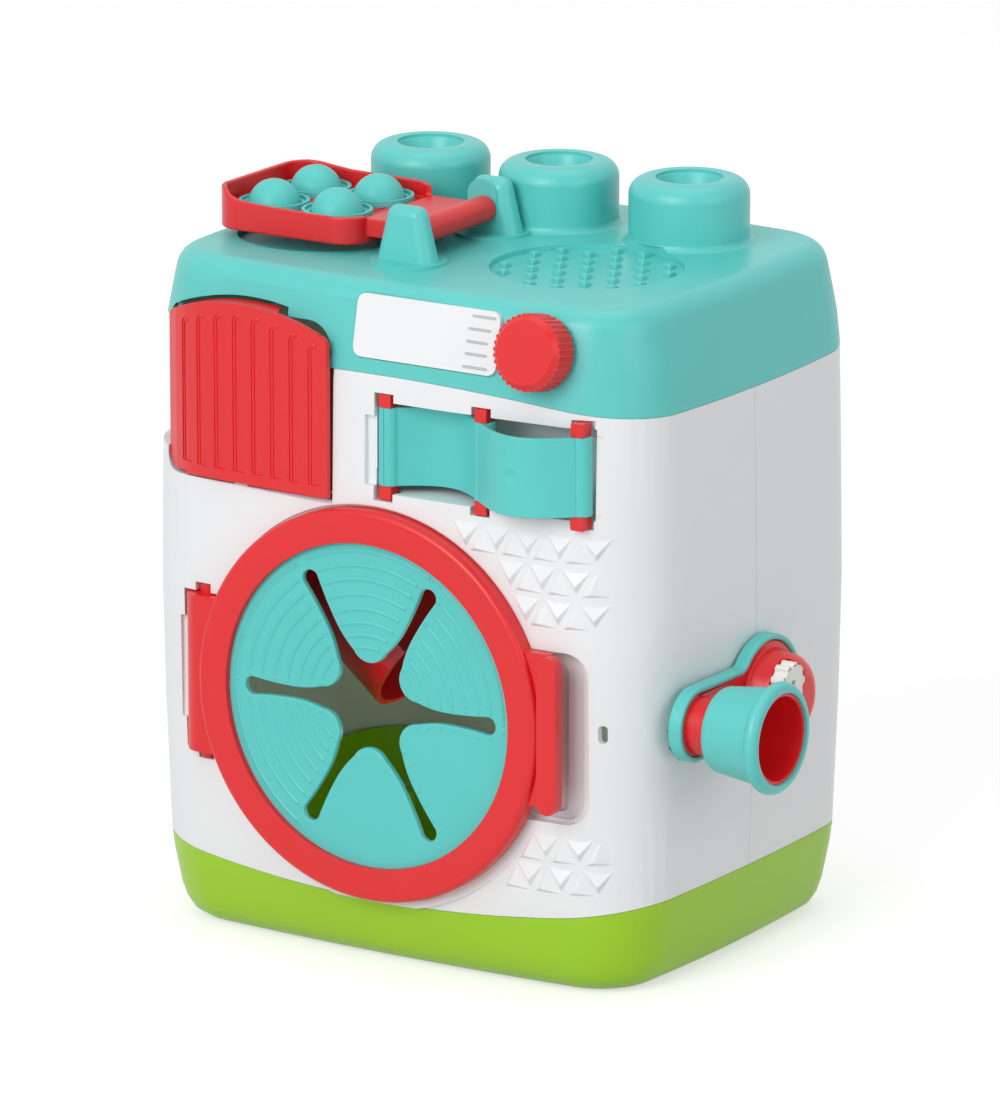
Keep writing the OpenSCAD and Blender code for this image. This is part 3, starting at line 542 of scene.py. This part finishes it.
# %% [markdown]
# ## The six petals of the door
#
# The disc in the door is soft, and slots cut it into six petals so that a ball or a
# hand pushes through. Each slot has a round end, a narrow neck and a flare to the
# petals' round tips. Drawing one sector is enough: half of its outline is made of
# arcs, each one a spun vertex, and of the slot's curve. It is mirrored, filled as
# one face and repeated six times. Then it is extruded to the disc's thickness, and
# the slot's edges are rounded as the soft moulding is.

# %% The slot's outline
DISC_R, DISC_THICK = 69.6, 2.4
SLOT_R, SLOT_END = 55.0, 3.6
NECK_R, NECK_HALF = 36.0, 2.3
TIP_AT, TIP_R = 25.8, 8.5
PETALS = 6
HALF_SECTOR = 30


def polar(radius, degrees):
    """A point in the door's plane, in metres, from its radius in millimetres and its angle."""
    angle = math.radians(degrees)
    return Vector((radius * math.cos(angle), 0, radius * math.sin(angle))) * MM


TIP = polar(TIP_AT, HALF_SECTOR) / MM


def slot_half(r):
    """Half the slot's width, in millimetres, at a distance from the door's centre."""
    if r > SLOT_R:
        return math.sqrt(max(0.0, SLOT_END ** 2 - (r - SLOT_R) ** 2))
    if r > NECK_R:
        return NECK_HALF + (SLOT_END - NECK_HALF) * ((r - NECK_R) / (SLOT_R - NECK_R)) ** 2
    return NECK_HALF + (TIP.z - TIP_R - NECK_HALF) * ((NECK_R - r) / (NECK_R - TIP.x)) ** 2


print("the slot is", round(2 * slot_half(NECK_R), 1), "mm wide at its neck")


# %% One sector, repeated and thickened
SIDE_STEPS = 16
SLOT_EDGE = 0.7


def add_arc(bm, start, centre, degrees, steps):
    """Spins a vertex about a centre in the door's plane, which leaves a chain of edges."""
    vertex = bm.verts.new(start)
    bmesh.ops.spin(bm, geom=[vertex], cent=centre, axis=OUT, angle=math.radians(degrees), steps=steps)


bm = bmesh.new()
add_arc(bm, polar(TIP_AT - TIP_R, HALF_SECTOR), polar(TIP_AT, HALF_SECTOR), 60, 8)
add_arc(bm, Vector((SLOT_R, 0, SLOT_END)) * MM, Vector((SLOT_R, 0, 0)) * MM, -90, 8)
add_arc(bm, polar(DISC_R, 0), Vector(), HALF_SECTOR, 12)
bm.edges.new((bm.verts.new(polar(TIP_AT - TIP_R, HALF_SECTOR)), bm.verts.new(polar(DISC_R, HALF_SECTOR))))
side_radii = [TIP.x + (SLOT_R - TIP.x) * i / SIDE_STEPS for i in range(SIDE_STEPS + 1)]
slot_side = [bm.verts.new(Vector((r, 0, slot_half(r))) * MM) for r in side_radii]
for one, other in zip(slot_side, slot_side[1:]):
    bm.edges.new((one, other))
bmesh.ops.mirror(bm, geom=bm.verts[:] + bm.edges[:], matrix=Matrix(), axis="Z")
bmesh.ops.remove_doubles(bm, verts=bm.verts, dist=CLOSE)
bmesh.ops.contextual_create(bm, geom=bm.edges[:])
bmesh.ops.spin(bm, geom=bm.verts[:] + bm.edges[:] + bm.faces[:], cent=(0, 0, 0), axis=OUT,
               angle=math.radians(2 * HALF_SECTOR * (PETALS - 1)), steps=PETALS - 1, use_duplicate=True)
bmesh.ops.remove_doubles(bm, verts=bm.verts, dist=CLOSE)
extruded = bmesh.ops.extrude_face_region(bm, geom=bm.faces[:])["geom"]
back_verts = [part for part in extruded if isinstance(part, bmesh.types.BMVert)]
bmesh.ops.translate(bm, verts=back_verts, vec=(0, DISC_THICK * MM, 0))
bmesh.ops.recalc_face_normals(bm, faces=bm.faces)
slot_edges = [e for e in bm.edges if e.is_manifold and e.calc_face_angle(0) > SHARP
              and all(abs(v.co.y) < CLOSE and v.co.length < (DISC_R - 1) * MM for v in e.verts)]
bmesh.ops.bevel(bm, geom=slot_edges, offset=SLOT_EDGE * MM, segments=3, profile=0.5, affect="EDGES",
                material=-1)
bmesh.ops.translate(bm, verts=bm.verts, vec=DOOR)
door_petals = piece_from(bm, "door_petals", "door", teal_silicone)
keep_faces_flat(door_petals)
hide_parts("petal_disc")
print("petals:", made["door_petals"], "faces,", len(slot_edges), "slot edges rounded")

# %% [markdown]
# ## The ribs on the petals
#
# Thin raised ribs run across four of the petals like rings in water, and a small
# dot stands at each end of a rib, along the slots. A fifth petal has the dots
# alone, and the lowest one is smooth. A rib is a small circle spun about the door's
# centre, half sunk in the petal. The dots are low domes.

# %% Add the ribs and the dots
RIB_RADII = [23.5, 28.5, 33.5, 39.0, 45.0, 51.0, 56.6, 62.5]
RIB_R = 1.1
RIB_SUNK = 0.6
RIB_MARGIN = 3.4
RIB_LEAST_DEGREES = 4
RIB_STEP_DEGREES = 2.5
DOT_R = 0.8
DOT_FLAT = 0.5
DOT_GAP = 1.5
# A petal's middle in degrees, and whether it has ribs beside its dots
RIBBED = {30: True, 90: True, 150: True, 210: True, 330: False}


def add_rib(bm, radius, start, end):
    """A half-sunk ring segment across a petal, between two angles in degrees."""
    ring = bmesh.ops.create_circle(bm, cap_ends=False, segments=8, radius=RIB_R * MM)["verts"]
    bmesh.ops.translate(bm, verts=ring, vec=(radius * MM, RIB_SUNK * MM, 0))
    turn = Matrix.Rotation(math.radians(start), 3, OUT)
    bmesh.ops.rotate(bm, verts=ring, cent=(0, 0, 0), matrix=turn)
    edges = list({e for v in ring for e in v.link_edges})
    steps = max(4, round((end - start) / RIB_STEP_DEGREES))
    bmesh.ops.spin(bm, geom=ring + edges, cent=(0, 0, 0), axis=OUT,
                   angle=math.radians(end - start), steps=steps)


def add_dot(bm, radius, degrees):
    """A low dome on the petal."""
    place = Matrix.Translation(polar(radius, degrees)) @ Matrix.Diagonal((1, DOT_FLAT, 1, 1))
    bmesh.ops.create_uvsphere(bm, u_segments=10, v_segments=6, radius=DOT_R * MM, matrix=place)


bm = bmesh.new()
for middle, ribs in RIBBED.items():
    for radius in RIB_RADII:
        reach = HALF_SECTOR - math.degrees(math.asin((slot_half(radius) + RIB_MARGIN) / radius))
        if ribs and reach > RIB_LEAST_DEGREES:
            add_rib(bm, radius, middle - reach, middle + reach)
        for way in (-1, 1):
            add_dot(bm, radius, middle + way * (reach + math.degrees(DOT_GAP / radius)))
bmesh.ops.remove_doubles(bm, verts=bm.verts, dist=0.5 * CLOSE)
bmesh.ops.holes_fill(bm, edges=[e for e in bm.edges if e.is_boundary])
bmesh.ops.recalc_face_normals(bm, faces=bm.faces)
bmesh.ops.translate(bm, verts=bm.verts, vec=DOOR)
piece_from(bm, "petal_ribs", "door", teal_silicone)
print("ribs and dots:", made["petal_ribs"], "faces")

# %% [markdown]
# ## The raised triangles on the front
#
# Two patches of the white front carry rows of raised triangles for small fingers.
# Each one is a long slope that starts flush with the wall and ends in a soft peak
# near one corner, where two drafted sides fall back to the wall. Those that point
# up have their peak at the lower left, and those that point down at the bottom. A
# cone of three sides is that shape once its tip is moved close to one corner. A ray
# finds each corner's place on the curved wall.

# %% Where a surface is, seen from the front
FAR_FRONT = -200


def surface_of(node):
    """A search tree over a CAD node's triangles, to find points on its surface."""
    bm = bmesh.new()
    bm.from_mesh(nodes[node].data)
    tree = BVHTree.FromBMesh(bm)
    bm.free()
    return tree


def front_point(surface, x, z):
    """Where a ray to the back meets a surface, and which way it faces there."""
    point, normal, _, _ = surface.ray_cast(Vector((x, FAR_FRONT, z)) * MM, Vector((0, 1, 0)))
    return point, normal


front_wall = surface_of("front_shell")
print("the front wall above the door is at", front_point(front_wall, DOOR_X, 190)[0])


# %% One raised triangle
CELL_WIDE = 12.6
CELL_TALL = 10.8
CELL_SUNK = 0.15
PEAK_INSET = 3.6
PEAK_RISE = 2.1


def add_cell(bm, x, z, points_up):
    """Adds one raised triangle with its peak beside a place on the front, and returns its slopes' edges."""
    if points_up:
        corners = [(x, z), (x + CELL_WIDE, z), (x + CELL_WIDE / 2, z + CELL_TALL)]
    else:
        corners = [(x, z), (x + CELL_WIDE / 2, z + CELL_TALL), (x - CELL_WIDE / 2, z + CELL_TALL)]
    cone = bmesh.ops.create_cone(bm, cap_ends=True, segments=3, radius1=1, radius2=0, depth=1)["verts"]
    base = sorted((v for v in cone if v.co.z < 0), key=lambda v: math.atan2(v.co.y, v.co.x))
    tip = next(v for v in cone if v.co.z > 0)
    for vertex, corner in zip(base, corners):
        point, normal = front_point(front_wall, *corner)
        vertex.co = point - normal * CELL_SUNK * MM
    low = Vector(corners[0])
    middle = (Vector(corners[1]) + Vector(corners[2])) / 2
    point, normal = front_point(front_wall, *(low + (middle - low).normalized() * PEAK_INSET))
    tip.co = point + normal * PEAK_RISE * MM
    return list(tip.link_edges)


# %% The rows of triangles
DOWN_LIFT = 0.6
UP_SHIFT, UP_DROP = 1.6, 0.4
PEAK_EDGE = 0.45
# A row's height, where its triangles that point down stand, and where those that point up do
ROWS = [(177.4, [43.4, 57.2, 71.1, 85.0, 98.9], [43.4, 57.2, 71.1, 85.0]),
        (164.2, [63.6, 77.6, 91.6], [63.6, 77.6, 91.6]),
        (151.0, [70.6, 84.6, 98.6], [70.6, 84.6]),
        (55.6, [78.3, 92.2], [64.6, 78.5, 92.4]),
        (42.9, [70.9, 84.8, 98.7], [57.6, 71.5, 85.4])]
bm = bmesh.new()
peaks = []
for height, downs, ups in ROWS:
    for x in downs:
        peaks += add_cell(bm, x, height + DOWN_LIFT, points_up=False)
    for x in ups:
        peaks += add_cell(bm, x + UP_SHIFT, height - UP_DROP, points_up=True)
bmesh.ops.recalc_face_normals(bm, faces=bm.faces)
bmesh.ops.bevel(bm, geom=peaks, offset=PEAK_EDGE * MM, segments=3, profile=0.5, affect="EDGES",
                material=-1, clamp_overlap=True)
front_relief = piece_from(bm, "front_relief", "housing", white_abs)
keep_faces_flat(front_relief)
print("front relief:", made["front_relief"], "faces")

# %% [markdown]
# ## The dots on the flap
#
# A small round dot ends each flute of the flap, near its arched top. Each is a low
# dome set on the flap where a ray meets it.

# %% Add the flap's dots
FLAP_DOTS = [(-89.1, 251.6), (-79.9, 254.6), (-70.7, 256.3), (-61.6, 257.0),
             (-52.4, 256.8), (-43.2, 255.7), (-34.1, 253.6), (-24.9, 250.4)]
FLAP_DOT_R, FLAP_DOT_FLAT = 1.0, 0.6
flap_face = surface_of("hopper_flap")
bm = bmesh.new()
for x, z in FLAP_DOTS:
    point, normal = front_point(flap_face, x, z)
    place = Matrix.Translation(point) @ normal.to_track_quat("Z", "Y").to_matrix().to_4x4()
    bmesh.ops.create_uvsphere(bm, u_segments=12, v_segments=8, radius=FLAP_DOT_R * MM,
                              matrix=place @ Matrix.Diagonal((1, 1, FLAP_DOT_FLAT, 1)))
piece_from(bm, "flap_dots", "flap", red_abs)
print("flap dots:", len(FLAP_DOTS))

# %% [markdown]
# ## The nubs in the round pad
#
# The round recess on the top right holds soft-edged three-sided nubs on a
# triangular lattice 12.5 mm apart. Each is a short cone of three sides with its
# edges rounded.

# %% Add the nubs
PAD = Vector((51, -18.5, 274)) * MM
NUB_PITCH, NUB_ROOM = 12.5, 33.5
NUB_BASE_R, NUB_TOP_R, NUB_TALL, NUB_EDGE = 3.9, 2.4, 2.4, 0.7
NUB_MIDDLE = Vector((0, 0, 0.9))
QUARTER_TURN = Matrix.Rotation(math.radians(90), 4, "Z")
bm = bmesh.new()
for row in range(-3, 4):
    for column in range(-3, 4):
        x = (column + 0.5 * (row % 2)) * NUB_PITCH
        y = row * NUB_PITCH * math.sqrt(3) / 2
        if math.hypot(x, y) < NUB_ROOM:
            place = Matrix.Translation(PAD + (Vector((x, y, 0)) + NUB_MIDDLE) * MM) @ QUARTER_TURN
            bmesh.ops.create_cone(bm, cap_ends=True, segments=3, radius1=NUB_BASE_R * MM,
                                  radius2=NUB_TOP_R * MM, depth=NUB_TALL * MM, matrix=place)
bmesh.ops.bevel(bm, geom=bm.edges[:], offset=NUB_EDGE * MM, segments=3, profile=0.5, affect="EDGES",
                material=-1)
pad_nubs = piece_from(bm, "pad_nubs", "housing", teal_abs)
keep_faces_flat(pad_nubs)
print("nubs:", made["pad_nubs"], "faces")

# %% [markdown]
# ## The soft tops of the studs
#
# Each stacking stud has a rim that flows into a deep dish without an edge. A half
# profile of that form, spun once round the stud's axis, lies on the CAD stud like a
# skin and closes under its top.

# %% Spin the stud tops
STUD_Y = 42.0
STUDS = {"left": -61.0, "middle": 0.0, "right": 61.0}
# The dish from its middle outwards, the rim, and the hidden underside
STUD_PROFILE = [(0, 292.95), (6, 293.0), (8.6, 293.4), (10.4, 294.4), (11.6, 295.9), (12.4, 297.7),
                (12.9, 299.3), (13.4, 300.5), (14.2, 301.4),
                (15.3, 301.85), (16.6, 301.9), (17.6, 301.82),
                (17.6, 300.6), (16, 292.2), (0, 292.2)]
STUD_STEPS = 72
STUD_SHARP = math.radians(60)
for side_name, x in STUDS.items():
    bm = bmesh.new()
    chain = [bm.verts.new(Vector((r, 0, z)) * MM) for r, z in STUD_PROFILE]
    links = [bm.edges.new(pair) for pair in zip(chain, chain[1:])]
    bmesh.ops.spin(bm, geom=chain + links, cent=(0, 0, 0), axis=(0, 0, 1), angle=2 * math.pi,
                   steps=STUD_STEPS, use_merge=True)
    bmesh.ops.remove_doubles(bm, verts=bm.verts, dist=CLOSE)
    bmesh.ops.recalc_face_normals(bm, faces=bm.faces)
    bmesh.ops.translate(bm, verts=bm.verts, vec=Vector((x, STUD_Y, 0)) * MM)
    piece_from(bm, f"stud_top_{side_name}", "housing", teal_abs, sharp=STUD_SHARP)
print("stud tops:", made["stud_top_left"], "faces each")

# %% [markdown]
# ## The lines on the badge plate
#
# Five short raised lines stand beside the dial, where a setting would be read. Their
# grey colour is painted shade: it stands for the shade along their raised edges. A
# line is a thin strip with round ends: a flat block whose short edges are beveled
# nearly as far as they go. The blocks lie in the plane of the leaning plate.

# %% Print the lines
LEAN = math.radians(11.3)
BADGE_X = 23
BADGE = Vector((BADGE_X, -89.2, 259.5)) * MM
BADGE_FACE, BADGE_FACE_Z = 2.0, 259.9
# A line's left end, right end and height
TICKS = [(43.1, 54.0, 269.5), (41.9, 52.2, 264.5), (41.5, 51.4, 259.6),
         (41.3, 51.5, 254.9), (40.8, 52.2, 249.9)]
TICK_HIGH, TICK_RISE, TICK_ROUND = 1.2, 0.12, 0.55
plate = Matrix.Translation(BADGE) @ Matrix.Rotation(math.pi / 2 - LEAN, 4, "X")
plate_out = plate.to_3x3() @ Vector((0, 0, 1))


def stands_on_plate(edge):
    """True for an edge that runs out of the plate."""
    along = (edge.verts[0].co - edge.verts[1].co).normalized()
    return abs(along.dot(plate_out)) > 0.9


bm = bmesh.new()
for left, right, z in TICKS:
    up = (z - BADGE_FACE_Z) / math.cos(LEAN)
    middle = Vector(((left + right) / 2 - BADGE_X, up, BADGE_FACE)) * MM
    size = Matrix.Diagonal(((right - left) * MM, TICK_HIGH * MM, 2 * TICK_RISE * MM, 1))
    block = bmesh.ops.create_cube(bm, size=1, matrix=plate @ Matrix.Translation(middle) @ size)["verts"]
    short = {edge for vertex in block for edge in vertex.link_edges if stands_on_plate(edge)}
    bmesh.ops.bevel(bm, geom=list(short), offset=TICK_ROUND * MM, segments=4, profile=0.5,
                    affect="EDGES", material=-1)
bmesh.ops.recalc_face_normals(bm, faces=bm.faces)
# The lines take the grey painted shade, which stands for the shade along their raised edges.
piece_from(bm, "badge_ticks", "housing", badge_lines_painted_shade)
print("badge lines:", len(TICKS))

# %% [markdown]
# ## Studio
#
# The toy stands on a plain pale floor in soft light: a large lamp high in front, a
# weaker one on the right, one above and a pale sky. The floor is white to the camera
# and in reflections, through Light Path in its own material, so the lamps can stay
# low enough for the white plastic to keep its shading. It still takes the toy's
# shadow.


# %% A switch for what is seen directly or in gloss
def seen_directly(tree):
    """1 for camera, glossy and transmission rays, and 0 for the light that falls on things."""
    path = add_node(tree, "ShaderNodeLightPath")
    sum_two = add_node(tree, "ShaderNodeMath", {"operation": "ADD"}, {
        0: path.outputs["Is Camera Ray"], 1: path.outputs["Is Glossy Ray"]})
    total = add_node(tree, "ShaderNodeMath", {"operation": "ADD", "use_clamp": True}, {
        0: sum_two.outputs[0], 1: path.outputs["Is Transmission Ray"]})
    return total.outputs[0]


# %% Floor
FLOOR_WIDE = 12
FLOOR_GREY = 0.6
FLOOR_GLOW = 0.55
bpy.ops.mesh.primitive_plane_add(size=FLOOR_WIDE)
floor = bpy.context.object
floor.name = "studio_floor"
floor_paper = bpy.data.materials.new("matt paper backdrop")
floor_paper.use_nodes = True
floor_tree = floor_paper.node_tree
floor_shader = floor_tree.nodes["Principled BSDF"]
floor_shader.inputs["Base Color"].default_value = (FLOOR_GREY, FLOOR_GREY, FLOOR_GREY, 1)
floor_shader.inputs["Roughness"].default_value = 0.9
floor_shader.inputs["Emission Color"].default_value = (1, 1, 1, 1)
glow = add_node(floor_tree, "ShaderNodeMath", {"operation": "MULTIPLY"}, {
    0: seen_directly(floor_tree), 1: FLOOR_GLOW})
floor_tree.links.new(glow.outputs[0], floor_shader.inputs["Emission Strength"])
floor.data.materials.append(floor_paper)
print("floor:", floor.name)

# %% Sky
SKY_LIGHT = 0.5
world = bpy.data.worlds.new("studio")
bpy.context.scene.world = world
world.use_nodes = True
world_tree = world.node_tree
sky = world_tree.nodes["Background"]
sky.inputs["Color"].default_value = (1, 1, 1, 1)
strength = add_node(world_tree, "ShaderNodeMapRange", {}, {
    "Value": seen_directly(world_tree), "To Min": SKY_LIGHT, "To Max": 1.0})
world_tree.links.new(strength.outputs["Result"], sky.inputs["Strength"])
print("sky gives", SKY_LIGHT, "to the toy")

# %% [markdown]
# ## Lamps
#
# Large area lamps give the soft highlights of a product photograph. A very weak
# lamp inside the drum stands for the light that thin plastic walls let through, so
# that the ramp can be made out between the petals.


# %% Lamps
def add_lamp(name, place, energy, size, target=(0, 0, 0.14)):
    """A square area lamp that looks at the toy; places and sizes are in metres, energy in watts."""
    lamp = bpy.data.lights.new(name, "AREA")
    lamp.energy = energy
    lamp.size = size
    holder = bpy.data.objects.new(name, lamp)
    bpy.context.scene.collection.objects.link(holder)
    holder.location = place
    holder.rotation_euler = (Vector(place) - Vector(target)).to_track_quat("Z", "Y").to_euler()
    return holder


add_lamp("key_lamp", (-0.15, -3.4, 2.0), 77, 2.2)
add_lamp("side_lamp", (3.2, -0.8, 1.4), 14, 1.8)
add_lamp("top_lamp", (0.0, 0.3, 2.2), 8, 1.6)
drum_fill = bpy.data.objects.new("drum_fill", bpy.data.lights.new("drum_fill", "POINT"))
drum_fill.data.energy = 0.05
drum_fill.data.shadow_soft_size = 20 * MM
drum_fill.location = Vector((30, -30, 70)) * MM
bpy.context.scene.collection.objects.link(drum_fill)

# %% [markdown]
# ## Camera
#
# The camera looks from the front right, a little from above. It stands far away
# with a long lens, as product photographers do, so upright lines stay nearly
# parallel.

# %% Camera
CAMERA_TURN = math.radians(32.5)
CAMERA_TILT = math.radians(15.0)
CAMERA_FAR = 3.8
CAMERA_AIM = Vector((-0.84, -0.54, 146.7)) * MM
LENS_MM, SENSOR_MM = 307.3, 36
to_camera = Vector((math.sin(CAMERA_TURN) * math.cos(CAMERA_TILT),
                    -math.cos(CAMERA_TURN) * math.cos(CAMERA_TILT), math.sin(CAMERA_TILT)))
camera = bpy.data.objects.new("camera", bpy.data.cameras.new("camera"))
bpy.context.scene.collection.objects.link(camera)
camera.location = CAMERA_AIM + CAMERA_FAR * to_camera
camera.rotation_euler = to_camera.to_track_quat("Z", "Y").to_euler()
camera.data.lens = LENS_MM
camera.data.sensor_width = SENSOR_MM
bpy.context.scene.camera = camera
bpy.context.scene.view_settings.view_transform = "Standard"
print("camera at", [round(v, 3) for v in camera.location])
